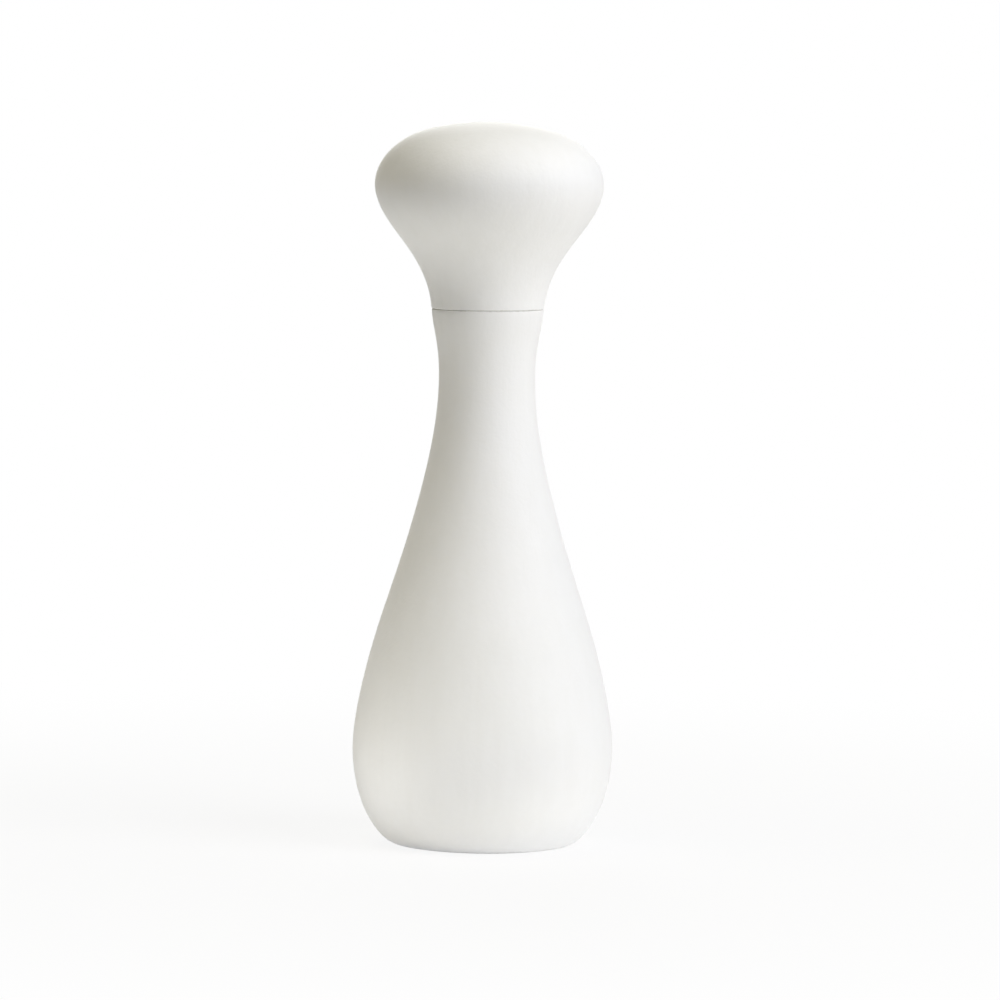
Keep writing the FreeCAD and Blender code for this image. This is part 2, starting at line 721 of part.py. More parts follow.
def bridge_bush():
    """The bush that turns in the bridge's hub, with a square hole for the shaft."""
    bush = turned(
        [
            (0, BRIDGE_HUB_BOTTOM, 0),
            (BUSH_RADIUS, BRIDGE_HUB_BOTTOM, EDGE),
            (BUSH_RADIUS, BRIDGE_HUB_TOP, EDGE),
            (0, BRIDGE_HUB_TOP, 0),
        ]
    )
    return bush.cut(square_bar(SHAFT_WIDTH + 2 * SEATED, BRIDGE_HUB_BOTTOM, BRIDGE_HUB_TOP))


def washer(bottom):
    """A flat washer with a square hole, so that it turns with the shaft."""
    top = bottom + WASHER_THICKNESS
    plate = turned(
        [
            (0, bottom, 0),
            (WASHER_RADIUS, bottom, FINE_EDGE),
            (WASHER_RADIUS, top, FINE_EDGE),
            (0, top, 0),
        ]
    )
    return plate.cut(square_bar(SHAFT_WIDTH + 2 * SEATED, bottom, top))


def thrust_washer():
    """The washer between the bridge's hub and the clip."""
    return washer(BRIDGE_HUB_TOP + SEATED)


def spring_washer():
    """The washer that the spring's upper end presses against the bridge's hub."""
    return washer(BRIDGE_HUB_BOTTOM - SEATED - WASHER_THICKNESS)


def shaft_clip():
    """The clip in the shaft's groove, which hangs the shaft on the bridge."""
    return open_ring(CLIP_RADIUS, CLIP_GROOVE_RADIUS + SEATED, CLIP_BOTTOM)


def end_clip():
    """The clip at the foot of the thread. It stops the knob from being screwed off."""
    return open_ring(END_CLIP_RADIUS, END_CLIP_GROOVE_RADIUS + SEATED, END_CLIP_BOTTOM)


def biarc(start, start_direction, end, end_direction):
    """Two tangent arcs between two points with given directions."""
    span = end - start
    along = span.dot(start_direction + end_direction)
    turn = 2 * (1 - start_direction.dot(end_direction))
    reach = (math.sqrt(along * along + turn * span.dot(span)) - along) / turn
    first = start + start_direction * reach
    last = end - end_direction * reach
    middle = (first + last) * 0.5
    return [bend(start, first, middle), bend(middle, last, end)]


def rotor_spring():
    """The compression spring that holds the cone down on the adjuster."""
    bottom = FEED_TOP + SEATED + SPRING_WIRE / 2
    top = BRIDGE_HUB_BOTTOM - 2 * SEATED - WASHER_THICKNESS - SPRING_WIRE / 2
    rise = (top - bottom) / (2 * math.pi * SPRING_TURNS)
    quarter = math.pi / 2

    def place(angle):
        x = SPRING_RADIUS * math.cos(angle)
        y = SPRING_RADIUS * math.sin(angle)
        return FreeCAD.Vector(x, y, bottom + rise * angle)

    def heading(angle):
        x = -SPRING_RADIUS * math.sin(angle)
        y = SPRING_RADIUS * math.cos(angle)
        return FreeCAD.Vector(x, y, rise).normalize()

    edges = []
    for i in range(4 * SPRING_TURNS):
        a, b = i * quarter, (i + 1) * quarter
        edges += biarc(place(a), heading(a), place(b), heading(b))
    section = Part.Wire(Part.makeCircle(SPRING_WIRE / 2, place(0), heading(0)))
    coil = Part.Wire(edges).makePipeShell([section], True, False)
    spots = Part.Wire(edges).discretize(SPRING_SPOTS * SPRING_TURNS + 1)
    nearest = min(
        spot.distanceToPoint(other)
        for i, spot in enumerate(spots)
        for other in spots[i + SPRING_SPOTS // 2 :]
    )
    gap = nearest - SPRING_WIRE
    ideal = Part.Wire(edges).Length * math.pi * SPRING_WIRE**2 / 4
    print(f"rotor_spring: gap between turns {gap:.2f} mm, volume {coil.Volume / ideal:.3f} of ideal")
    return coil


# Cone and feed screw, which slide on the shaft


def rotor():
    """The ceramic cone, with fine teeth low down, coarse ones above and a square hole."""
    low = GRIND_BASE_RADIUS
    middle = GRIND_MIDDLE_RADIUS
    high = GRIND_TOP_RADIUS
    sections = [
        (ROTOR_BOTTOM, low, low - FINE_TOOTH, 0.0),
        (GRIND_MIDDLE_HEIGHT, middle, middle - FINE_TOOTH, ROTOR_MIDDLE_TWIST),
        (ROTOR_TOP, high, high - COARSE_TOOTH, ROTOR_TOP_TWIST),
    ]
    hole = square_bar(SHAFT_WIDTH + 2 * RUNNING, ROTOR_BOTTOM - OVERRUN, ROTOR_TOP + OVERRUN)
    half_length = CLICK_NOTCH_LENGTH / 2
    half_width = CLICK_NOTCH_WIDTH / 2
    notch = box(
        (CLICK_CIRCLE - half_length, CLICK_CIRCLE + half_length),
        (-half_width, half_width),
        (ROTOR_BOTTOM - OVERRUN, ROTOR_BOTTOM + CLICK_NOTCH_DEPTH),
    )
    return toothed(ROTOR_TEETH, sections).cut([hole] + around(notch, CLICK_NOTCHES))


def feed_screw():
    """The plastic screw on top of the cone. Its slanted vanes push corns down into the teeth."""
    bottom = ROTOR_TOP + SEATED
    vane_height = FEED_TOP - FEED_VANE_DROP - bottom
    hub = turned(
        [
            (0, bottom, 0),
            (FEED_FOOT_RADIUS, bottom, 0),
            (FEED_HUB_RADIUS, bottom + FEED_FOOT_HEIGHT, 0),
            (FEED_HUB_RADIUS, FEED_TOP, EDGE),
            (0, FEED_TOP, 0),
        ]
    )
    half = FEED_VANE_THICKNESS / 2
    levels = []
    for share in (0.0, 0.5, 1.0):
        reach = FEED_VANE_FOOT_RADIUS + share * (FEED_VANE_TOP_RADIUS - FEED_VANE_FOOT_RADIUS)
        corners = [(FEED_VANE_ROOT, -half), (reach, -half), (reach, half), (FEED_VANE_ROOT, half)]
        section = polygon(corners, bottom + share * vane_height)
        section.rotate(AXIS_POINT, UP, FEED_VANE_TWIST * share)
        levels.append(section)
    vane = Part.makeLoft(levels, True, True)
    hole = square_bar(SHAFT_WIDTH + 2 * RUNNING, bottom - OVERRUN, FEED_TOP + OVERRUN)
    return hub.fuse(around(vane, FEED_VANES)).cut(hole)


# Adjuster under the cone


def hexagon(across_flats, bottom, top):
    radius = across_flats / math.sqrt(3)
    angles = [math.radians(60 * i) for i in range(6)]
    wire = polygon([(radius * math.cos(a), radius * math.sin(a)) for a in angles], bottom)
    return Part.Face(wire).extrude(FreeCAD.Vector(0, 0, top - bottom))


def adjuster_knob():
    """The lobed knob under the mill, moulded round its nut. It sets how fine the mill grinds."""
    blank = turned(
        [
            (0, KNOB_BOTTOM, 0),
            (KNOB_RADIUS, KNOB_BOTTOM, KNOB_ROUND),
            (KNOB_RADIUS, KNOB_TOP, EDGE),
            (0, KNOB_TOP, 0),
        ]
    )
    scallop = rod(KNOB_SCALLOP_RADIUS, KNOB_BOTTOM - OVERRUN, KNOB_TOP + OVERRUN, KNOB_SCALLOP_CIRCLE)
    pocket = rod(KNOB_POCKET_RADIUS, KNOB_BOTTOM - OVERRUN, NUT_BOTTOM - SEATED)
    nest = hexagon(NUT_ACROSS_FLATS + 2 * SEATED, KNOB_BOTTOM, KNOB_TOP + OVERRUN)
    return blank.cut(around(scallop, KNOB_LOBES, 180 / KNOB_LOBES) + [pocket, nest])


def adjuster_nut():
    """The brass nut in the knob, on the shaft's thread."""
    bore = rod(THREAD_RADIUS + RUNNING / 2, NUT_BOTTOM, KNOB_TOP)
    return hexagon(NUT_ACROSS_FLATS, NUT_BOTTOM, KNOB_TOP).cut(bore)


def click_washer():
    """The spring washer on the knob, with dimples that click in the cone's notches."""
    top = CLICK_BOTTOM + CLICK_THICKNESS
    plate = turned(
        [
            (CLICK_HOLE_RADIUS, CLICK_BOTTOM, 0),
            (CLICK_RADIUS, CLICK_BOTTOM, FINE_EDGE),
            (CLICK_RADIUS, top, FINE_EDGE),
            (CLICK_HOLE_RADIUS, top, 0),
        ]
    )
    dimple = Part.makeSphere(CLICK_DIMPLE, at(CLICK_CIRCLE, top), UP, 0, 90, 360)
    return plate.fuse(around(dimple, KEY_COUNT)).removeSplitter()


PIECES = (
    body_shell,
    neck_shell,
    head_shell,
    neck_collar,
    head_insert,
    insert_screws,
    spigot_seal,
    grip_clip,
    mill_housing,
    housing_screws,
    stator,
    stator_retainer,
    shaft_bridge,
    drive_shaft,
    bridge_bush,
    thrust_washer,
    spring_washer,
    shaft_clip,
    end_clip,
    rotor_spring,
    rotor,
    feed_screw,
    adjuster_knob,
    adjuster_nut,
    click_washer,
)

os.makedirs("parts", exist_ok=True)
for piece in PIECES:
    save(piece.__name__, piece())
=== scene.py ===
import math

import bpy
import numpy as np
from mathutils import Matrix, Vector
from mathutils.geometry import interpolate_bezier


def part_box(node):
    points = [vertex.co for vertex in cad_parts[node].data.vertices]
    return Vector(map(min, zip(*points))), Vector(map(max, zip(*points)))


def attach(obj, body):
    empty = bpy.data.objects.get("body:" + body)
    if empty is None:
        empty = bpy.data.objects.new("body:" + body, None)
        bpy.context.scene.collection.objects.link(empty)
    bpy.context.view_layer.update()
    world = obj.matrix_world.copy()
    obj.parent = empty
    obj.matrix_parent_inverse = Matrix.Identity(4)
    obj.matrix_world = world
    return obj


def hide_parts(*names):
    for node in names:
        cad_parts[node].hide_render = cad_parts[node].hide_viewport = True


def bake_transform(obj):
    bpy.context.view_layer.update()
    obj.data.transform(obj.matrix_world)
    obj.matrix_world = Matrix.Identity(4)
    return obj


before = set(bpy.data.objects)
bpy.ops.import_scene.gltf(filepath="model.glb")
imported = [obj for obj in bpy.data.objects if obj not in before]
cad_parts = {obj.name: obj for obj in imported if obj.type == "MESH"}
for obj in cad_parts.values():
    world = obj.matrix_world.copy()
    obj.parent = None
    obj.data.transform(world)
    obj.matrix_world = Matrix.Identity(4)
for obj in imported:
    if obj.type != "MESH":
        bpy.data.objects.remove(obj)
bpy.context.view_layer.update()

# Body: one block of beech, turned to a full belly, a slim waist and a short flared neck, and bored
# from both ends. It is sealed, then sprayed with warm white satin lacquer, which builds up on the
# rims and narrows the seam under the head. The bores stay bare wood.
MM = 0.001
ROUND_STEPS = 160
RING_SPACING = 1.4 * MM
WELD_REACH = 0.005 * MM
SHARP_EDGE = math.radians(35)
LACQUER_BUILD = 0.14 * MM
LACQUER_EDGE = 0.1 * MM
BODY_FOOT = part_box("body_shell")[0].z
BODY_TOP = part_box("neck_shell")[1].z + LACQUER_BUILD
HEAD_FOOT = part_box("head_shell")[0].z - LACQUER_BUILD
SEAM_HEIGHT = (BODY_TOP + HEAD_FOOT) / 2
SEAM_ROUND = 0.3 * MM
NECK_RADIUS = 15.5 * MM
NECK_HEADING = (0.05, 0.9987)
BELLY_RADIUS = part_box("body_shell")[1].x
FOOT_RADIUS = 24 * MM
FOOT_HEADING = (1, 0)
COLLAR_LOW, COLLAR_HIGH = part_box("neck_collar")
COLLAR_FLANGE = 1.6 * MM
COLLAR_ROOM = 0.05 * MM
COLLAR_RECESS_RADIUS = COLLAR_HIGH.x + COLLAR_ROOM
COLLAR_SEAT = COLLAR_HIGH.z - COLLAR_FLANGE
COLLAR_BORE_RADIUS = 10.8 * MM
NECK_BORE_RADIUS = 9.5 * MM
NECK_BORE_FOOT = 90 * MM
HOPPER_RADIUS = 15.5 * MM
HOPPER_TOP = 84 * MM
RECESS_RADIUS = 21 * MM
RECESS_DEPTH = 8 * MM
RECESS_BREAK = 0.6 * MM
BARE_REACH = RECESS_RADIUS + MM
FACING_AXIS = 0.2
LYING_FLAT = 0.95
BODY_KNOTS = [
    (FOOT_RADIUS, BODY_FOOT),
    (29.8 * MM, 4.2 * MM),
    (34.1 * MM, 12.9 * MM),
    (BELLY_RADIUS, 25.5 * MM),
    (34.7 * MM, 38.9 * MM),
    (29.8 * MM, 58.8 * MM),
    (23.4 * MM, 78.8 * MM),
    (17.75 * MM, 98.9 * MM),
    (14.2 * MM, 116.9 * MM),
    (13.33 * MM, 129 * MM),
    (14.05 * MM, 139 * MM),
    (NECK_RADIUS, BODY_TOP - SEAM_ROUND),
]
BODY_BORES = [
    (COLLAR_RECESS_RADIUS, BODY_TOP),
    (COLLAR_RECESS_RADIUS, COLLAR_SEAT),
    (COLLAR_BORE_RADIUS, COLLAR_SEAT),
    (COLLAR_BORE_RADIUS, COLLAR_LOW.z),
    (NECK_BORE_RADIUS, COLLAR_LOW.z),
    (NECK_BORE_RADIUS, NECK_BORE_FOOT),
    (HOPPER_RADIUS, HOPPER_TOP),
    (HOPPER_RADIUS, RECESS_DEPTH),
    (RECESS_RADIUS, RECESS_DEPTH),
    (RECESS_RADIUS, RECESS_BREAK),
    (RECESS_RADIUS + RECESS_BREAK, BODY_FOOT),
    (FOOT_RADIUS, BODY_FOOT),
]


def flowing(knots, first_heading, last_heading):
    """Closely spaced points on the curve of a turner's gouge through the knots, headed as given."""
    spans = [math.dist(a, b) for a, b in zip(knots, knots[1:])]
    places = np.array(knots)
    count = len(knots)
    balance = np.eye(count)
    pull = np.zeros((count, 2))
    pull[0] = first_heading
    pull[-1] = last_heading
    for i in range(1, count - 1):
        before, after = 1 / spans[i - 1], 1 / spans[i]
        balance[i, i - 1 : i + 2] = before, 2 * (before + after), after
        pull[i] = 3 * (before**2 * (places[i] - places[i - 1]) + after**2 * (places[i + 1] - places[i]))
    headings = np.linalg.solve(balance, pull)
    line = [knots[0]]
    for i, span in enumerate(spans):
        steps = max(2, round(span / RING_SPACING)) + 1
        leave = places[i] + headings[i] * span / 3
        arrive = places[i + 1] - headings[i + 1] * span / 3
        corners = [Vector((r, z)) for r, z in (places[i], leave, arrive, places[i + 1])]
        line += [tuple(p) for p in interpolate_bezier(*corners, steps)[1:]]
    return line


def quarter_round(start, corner, end, steps=5):
    """Points between start and end on the rounded edge of a corner."""
    points = []
    for i in range(1, steps + 1):
        turn = math.pi / 2 * i / steps
        away, along = 1 - math.sin(turn), 1 - math.cos(turn)
        points.append(tuple(c + away * (s - c) + along * (e - c) for s, c, e in zip(start, corner, end)))
    return points


def turn_on_axis(name, outline):
    """Draws a half outline point by point and spins it round the mill's axis."""
    bpy.ops.object.select_all(action="DESELECT")
    bpy.ops.mesh.primitive_circle_add(vertices=3, radius=MM)
    piece = bpy.context.object
    piece.name = piece.data.name = name
    bpy.ops.object.mode_set(mode="EDIT")
    bpy.ops.mesh.select_mode(type="VERT")
    bpy.ops.mesh.select_all(action="SELECT")
    bpy.ops.mesh.merge(type="CENTER")
    bpy.ops.transform.translate(value=(outline[0][0], 0, outline[0][1]))
    for (r0, z0), (r1, z1) in zip(outline, outline[1:]):
        bpy.ops.mesh.extrude_vertices_move(TRANSFORM_OT_translate={"value": (r1 - r0, 0, z1 - z0)})
    bpy.ops.mesh.select_all(action="SELECT")
    bpy.ops.mesh.spin(steps=ROUND_STEPS, angle=2 * math.pi, center=(0, 0, 0), axis=(0, 0, 1))
    bpy.ops.mesh.select_all(action="SELECT")
    bpy.ops.mesh.remove_doubles(threshold=WELD_REACH)
    bpy.ops.mesh.normals_make_consistent(inside=False)
    bpy.ops.object.mode_set(mode="OBJECT")
    bpy.ops.object.shade_smooth_by_angle(angle=SHARP_EDGE)
    return piece


def paint(piece, coat, bare, bare_radius, bare_low, bare_high):
    """Coats the piece, and leaves its bores bare within a radius and between two heights."""
    piece.data.materials.append(coat)
    piece.data.materials.append(bare)
    bpy.ops.object.mode_set(mode="EDIT")
    bpy.ops.mesh.select_mode(type="FACE")
    bpy.ops.mesh.select_all(action="DESELECT")
    bpy.ops.object.mode_set(mode="OBJECT")
    for face in piece.data.polygons:
        middle = face.center
        faces_axis = face.normal.xy.dot(middle.xy) < -FACING_AXIS * middle.xy.length
        faces_along = abs(face.normal.z) > LYING_FLAT
        inside = middle.xy.length < bare_radius and bare_low < middle.z < bare_high
        face.select = inside and (faces_axis or faces_along)
    bpy.ops.object.mode_set(mode="EDIT")
    piece.active_material_index = 1
    bpy.ops.object.material_slot_assign()
    bpy.ops.object.mode_set(mode="OBJECT")


class Flow:
    """What leaves one socket of a material's nodes. Arithmetic on it adds Math nodes."""

    def __init__(self, tree, socket=None):
        self.tree = tree
        self.socket = socket

    def node(self, kind, settings, inputs, output=None):
        """Adds a node, makes its settings, fills its sockets, and gives its named or first output."""
        made = self.tree.nodes.new("ShaderNode" + kind)
        for name, value in settings.items():
            setattr(made, name, value)
        sockets = {socket.identifier: socket for socket in made.inputs}
        for name, value in inputs.items():
            if isinstance(value, Flow):
                self.tree.links.new(value.socket, sockets[name])
            else:
                sockets[name].default_value = value
        exits = {socket.identifier: socket for socket in made.outputs}
        first = next(iter(exits), None)
        return Flow(self.tree, exits.get(output or first))

    def sum(self, operation, first, second):
        """One Math node with two values."""
        return self.node("Math", {"operation": operation}, {"Value": first, "Value_001": second})

    def __add__(self, other):
        return self.sum("ADD", self, other)

    __radd__ = __add__

    def __sub__(self, other):
        return self.sum("SUBTRACT", self, other)

    def __rsub__(self, other):
        return self.sum("SUBTRACT", other, self)

    def __mul__(self, other):
        return self.sum("MULTIPLY", self, other)

    __rmul__ = __mul__

    def __abs__(self):
        return self.node("Math", {"operation": "ABSOLUTE"}, {"Value": self})

    def sine(self):
        """A wave between -1 and 1 as the value goes up in radians."""
        return self.node("Math", {"operation": "SINE"}, {"Value": self})

    def ramp(self, low, high, start=0.0, end=1.0):
        """A soft step from start to end as the value goes from low to high."""
        limits = {"From Min": low, "From Max": high, "To Min": start, "To Max": end}
        return self.node("MapRange", {"interpolation_type": "SMOOTHSTEP"}, {"Value": self, **limits})

    def stretched(self, x, y, z):
        """The same place on the piece, with its three measures stretched."""
        return self.node("Mapping", {"vector_type": "POINT"}, {"Vector": self, "Scale": (x, y, z)})

    def noise(self, scale, detail=2.0, roughness=0.5):
        """Soft random patches around 0.5, with the scale's number of them to a metre."""
        inputs = {"Vector": self, "Scale": scale, "Detail": detail, "Roughness": roughness}
        return self.node("TexNoise", {"noise_dimensions": "3D"}, inputs)

    def mix(self, first, second):
        """The first colour, going over to the second as this value rises from 0 to 1."""
        inputs = {"Factor_Float": self, "A_Color": first, "B_Color": second}
        return self.node("Mix", {"data_type": "RGBA"}, inputs, "Result_Color")

    def bump(self, distance):
        """A surface that rises by the distance where this value rises by 1."""
        return self.node("Bump", {}, {"Height": self, "Distance": distance, "Strength": 1.0})


def material(name):
    """An empty material, and the place on the piece where its pattern starts."""
    made = bpy.data.materials.new(name)
    made.use_nodes = True
    made.node_tree.nodes.clear()
    place = Flow(made.node_tree).node("TexCoord", {}, {}, "Object")
    return made, place


def surface(place, **sockets):
    """Finishes a material with one shader. Sockets are named with _ for a space."""
    named = {name.replace("_", " "): value for name, value in sockets.items()}
    shader = place.node("BsdfPrincipled", {}, named)
    place.node("OutputMaterial", {}, {"Surface": shader})


def height_of(place):
    """How far above the table a place on the piece is when the mill stands at rest."""
    return place.node("SeparateXYZ", {}, {"Vector": place}, "Z")


def white_lacquer():
    """Sprayed satin lacquer: faint orange peel, a trace of the grain under it, and wear on its edges."""
    coat, place = material("white_lacquer")
    height = height_of(place)
    peel = place.noise(620, 2.0)
    grain = place.stretched(340, 340, 9).noise(1.0, 3.0, 0.6)
    handling = place.noise(38, 4.0, 0.6)
    scuffs = place.stretched(1, 1, 2.5).noise(900, 3.0, 0.7)
    seam_edge = abs(height - SEAM_HEIGHT).ramp(0.1 * MM, 0.6 * MM, 1.0, 0.0)
    foot_edge = height.ramp(0.05 * MM, 0.6 * MM, 1.0, 0.0)
    worn = (seam_edge * 0.5 + foot_edge) * scuffs.ramp(0.5, 0.68)
    tone = (handling * 0.5 + grain * 0.5).ramp(0.3, 0.7)
    clean = tone.mix((0.905, 0.901, 0.872, 1), (0.885, 0.88, 0.847, 1))
    surface(
        place,
        Base_Color=(worn * 0.55).mix(clean, (0.52, 0.46, 0.37, 1)),
        Roughness=0.58 + handling * 0.12 + worn * 0.2,
        Normal=(peel * 0.7 + grain * 0.5 + worn * -0.5).bump(0.1 * MM),
    )
    return coat


def bare_beech():
    """Bored beech: pale, with lines along the trunk, darker flecks and turning marks 0.7 mm apart."""
    wood, place = material("bare_beech")
    streaks = place.stretched(900, 900, 28).noise(1.0, 4.0, 0.6)
    flecks = place.stretched(1500, 1500, 330).noise(1.0, 1.0).ramp(0.6, 0.72)
    broad = place.stretched(120, 120, 10).noise(1.0, 2.0)
    marks = (height_of(place) * 9000).sine()
    tone = (streaks * 0.6 + broad * 0.4).ramp(0.32, 0.68)
    pale = tone.mix((0.60, 0.40, 0.225, 1), (0.43, 0.265, 0.135, 1))
    surface(
        place,
        Base_Color=(flecks * 0.6).mix(pale, (0.29, 0.165, 0.08, 1)),
        Roughness=0.62 + streaks * 0.2,
        Normal=(streaks * 0.7 + marks * 0.12).bump(0.05 * MM),
    )
    return wood


lacquer = white_lacquer()
beech = bare_beech()
body_line = flowing(BODY_KNOTS, FOOT_HEADING, NECK_HEADING)
body_rim = (NECK_RADIUS - SEAM_ROUND, BODY_TOP)
body_line += quarter_round(body_line[-1], (NECK_RADIUS, BODY_TOP), body_rim)
body = turn_on_axis("mill_body", body_line + BODY_BORES)
paint(body, lacquer, beech, BARE_REACH, BODY_FOOT + LACQUER_EDGE, BODY_TOP - LACQUER_EDGE)
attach(body, "body")
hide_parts("body_shell", "neck_shell")

# Grinder housing, ring lock, bridge and feed screw: dark grey nylon with short glass fibres,
# injection moulded. The housing is screwed up into the recess, the bridge is pressed into its top,
# and the feed screw rides on the cone.


def moulded_nylon(name, dark, light, sheen_break):
    """Glass-filled nylon: dark, finely spark-eroded, with paler fibre ends and rubbed patches."""
    nylon, place = material(name)
    fibres = place.stretched(2600, 2600, 900).noise(1.0, 2.0).ramp(0.62, 0.74)
    patches = place.noise(140, 3.0, 0.6)
    spark = place.noise(5200, 2.0, 0.6)
    surface(
        place,
        Base_Color=(fibres * 0.5 + patches * 0.3).mix(dark, light),
        Roughness=sheen_break + patches * 0.18,
        Normal=(spark + fibres * 0.3).bump(0.02 * MM),
    )
    return nylon


def finish(finish_material, *nodes):
    """Gives CAD pieces whose shape is already right their finish."""
    for node in nodes:
        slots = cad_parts[node].data.materials
        slots.clear()
        slots.append(finish_material)


grey_nylon = moulded_nylon("grey_nylon", (0.03, 0.031, 0.033, 1), (0.085, 0.087, 0.09, 1), 0.44)
finish(grey_nylon, "mill_housing", "stator_retainer", "shaft_bridge", "feed_screw")

# Toothed ring and cone: alumina ceramic, pressed and fired, unglazed. The ring is keyed in the
# housing, and the cone slides on the shaft. Ground pepper stains both a little, most of all low down.


def fired_ceramic():
    """Fired alumina: chalky white with fine grit and a faint brown pepper stain low down."""
    ceramic, place = material("fired_ceramic")
    grit = place.noise(3000, 3.0, 0.6)
    stain = place.noise(420, 4.0, 0.65).ramp(0.5, 0.72)
    low = height_of(place).ramp(9 * MM, 16 * MM, 1.0, 0.35)
    surface(
        place,
        Base_Color=(stain * low * 0.5).mix((0.80, 0.785, 0.745, 1), (0.45, 0.36, 0.25, 1)),
        Roughness=0.42 + grit * 0.2,
        Normal=grit.bump(0.015 * MM),
    )
    return ceramic


finish(fired_ceramic(), "stator", "rotor")

# Shaft: square aluminium bar, drawn through a die that leaves fine lines along it. Its top is
# pointed to find the socket in the head, and its foot is threaded for the adjuster.


def drawn_aluminium():
    """Drawn bar: die lines along the bar, a satin tumble and small rubbed patches."""
    bar, place = material("drawn_aluminium")
    lines = place.stretched(7000, 7000, 30).noise(1.0, 3.0, 0.6)
    rubbed = place.noise(260, 3.0, 0.6)
    surface(
        place,
        Base_Color=rubbed.mix((0.62, 0.62, 0.63, 1), (0.47, 0.47, 0.485, 1)),
        Metallic=1.0,
        Roughness=0.24 + lines * 0.16 + rubbed * 0.08,
        Normal=lines.bump(0.008 * MM),
    )
    return bar


finish(drawn_aluminium(), "drive_shaft")

# Spring: bright spring steel wire, wound in four turns round the shaft. It stands on the feed screw
# under the bridge's washer and presses the cone down.
SPRING_LOW, SPRING_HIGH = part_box("rotor_spring")
SPRING_WIRE = 0.8 * MM
SPRING_TURNS = 4
WIRE_SIDES = 16
TURN_STEPS = 48


def bright_metal(name, pale, dull, roughness):
    """Bare or plated metal with a cloudy polish and fine scratches."""
    metal, place = material(name)
    clouds = place.noise(800, 3.0, 0.6)
    scratches = place.stretched(1, 1, 6).noise(4200, 2.0, 0.7)
    surface(
        place,
        Base_Color=clouds.mix(pale, dull),
        Metallic=1.0,
        Roughness=roughness + clouds * 0.14,
        Normal=scratches.bump(0.004 * MM),
    )
    return metal


spring_steel = bright_metal("spring_steel", (0.58, 0.58, 0.59, 1), (0.44, 0.44, 0.46, 1), 0.18)
spring_foot = (SPRING_HIGH.x - SPRING_WIRE / 2, 0, SPRING_LOW.z + SPRING_WIRE / 2)
bpy.ops.object.select_all(action="DESELECT")
bpy.ops.mesh.primitive_circle_add(
    vertices=WIRE_SIDES, radius=SPRING_WIRE / 2, location=spring_foot, rotation=(math.pi / 2, 0, 0)
)
spring = bpy.context.object
spring.name = spring.data.name = "cone_spring"
bpy.ops.object.transform_apply(location=True, rotation=True, scale=True)
winding = spring.modifiers.new("winding", "SCREW")
winding.axis = "Z"
winding.iterations = SPRING_TURNS
winding.screw_offset = (SPRING_HIGH.z - SPRING_LOW.z - SPRING_WIRE) / SPRING_TURNS
winding.steps = winding.render_steps = TURN_STEPS
bpy.ops.object.modifier_apply(modifier=winding.name)
bpy.ops.object.mode_set(mode="EDIT")
bpy.ops.mesh.select_mode(type="VERT")
bpy.ops.mesh.select_all(action="SELECT")
bpy.ops.mesh.fill_holes(sides=0)
bpy.ops.mesh.select_all(action="SELECT")
bpy.ops.mesh.normals_make_consistent(inside=False)
bpy.ops.object.mode_set(mode="OBJECT")
bpy.ops.object.shade_smooth_by_angle(angle=SHARP_EDGE)
spring.data.materials.append(spring_steel)
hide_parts("rotor_spring")
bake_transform(spring)

# Clips and click washer: the same steel. Two flat clips are stamped to snap into the shaft's grooves,
# a hairpin of wire in the socket grips the shaft's sides, and the washer is dimpled to click in the
# cone's notches and hold the knob where it is set.
finish(spring_steel, "shaft_clip", "end_clip", "click_washer", "grip_clip")

# Screws: steel, zinc plated with a faint mottle. Three hold the housing up in the body's recess, and
# three hold the socket in the head.
zinc_plate = bright_metal("zinc_plate", (0.70, 0.695, 0.67, 1), (0.55, 0.55, 0.545, 1), 0.28)
finish(zinc_plate, "housing_screws", "insert_screws")

# Adjuster: a black nylon knob with eight hollows for the fingers, moulded round a brass nut that
# runs on the shaft's thread.
black_nylon = moulded_nylon("black_nylon", (0.012, 0.012, 0.013, 1), (0.04, 0.04, 0.042, 1), 0.36)
finish(black_nylon, "adjuster_knob")
brass = bright_metal("machined_brass", (0.80, 0.60, 0.28, 1), (0.66, 0.47, 0.20, 1), 0.2)
finish(brass, "adjuster_nut")

# Collar, socket, bush and washers: natural white acetal, turned or moulded, slightly waxy.
# The collar lines the neck and carries the head, and the socket is screwed into the head.


def white_acetal():
    """Natural acetal: milky, with a waxy surface and faint flow lines."""
    acetal, place = material("white_acetal")
    flow = place.stretched(90, 90, 700).noise(1.0, 3.0, 0.55)
    wax = place.noise(2400, 2.0)
    surface(
        place,
        Base_Color=flow.mix((0.80, 0.80, 0.775, 1), (0.74, 0.735, 0.70, 1)),
        Roughness=0.3 + flow * 0.14,
        Normal=(wax * 0.4 + flow * 0.6).bump(0.01 * MM),
    )
    return acetal


finish(white_acetal(), "neck_collar", "head_insert", "bridge_bush", "thrust_washer", "spring_washer")

# Seal: a ring of black nitrile rubber, moulded and stretched into the spigot's groove. It gives the
# head a slight drag in the collar, and is dusty where it rubs there.


def nitrile_rubber():
    """Nitrile rubber: black and dull, with grey dust in patches."""
    rubber, place = material("nitrile_rubber")
    dust = place.noise(900, 4.0, 0.65)
    surface(
        place,
        Base_Color=dust.ramp(0.45, 0.75).mix((0.012, 0.012, 0.012, 1), (0.05, 0.049, 0.047, 1)),
        Roughness=0.5 + dust * 0.25,
        Normal=dust.bump(0.02 * MM),
    )
    return rubber


finish(nitrile_rubber(), "spigot_seal")

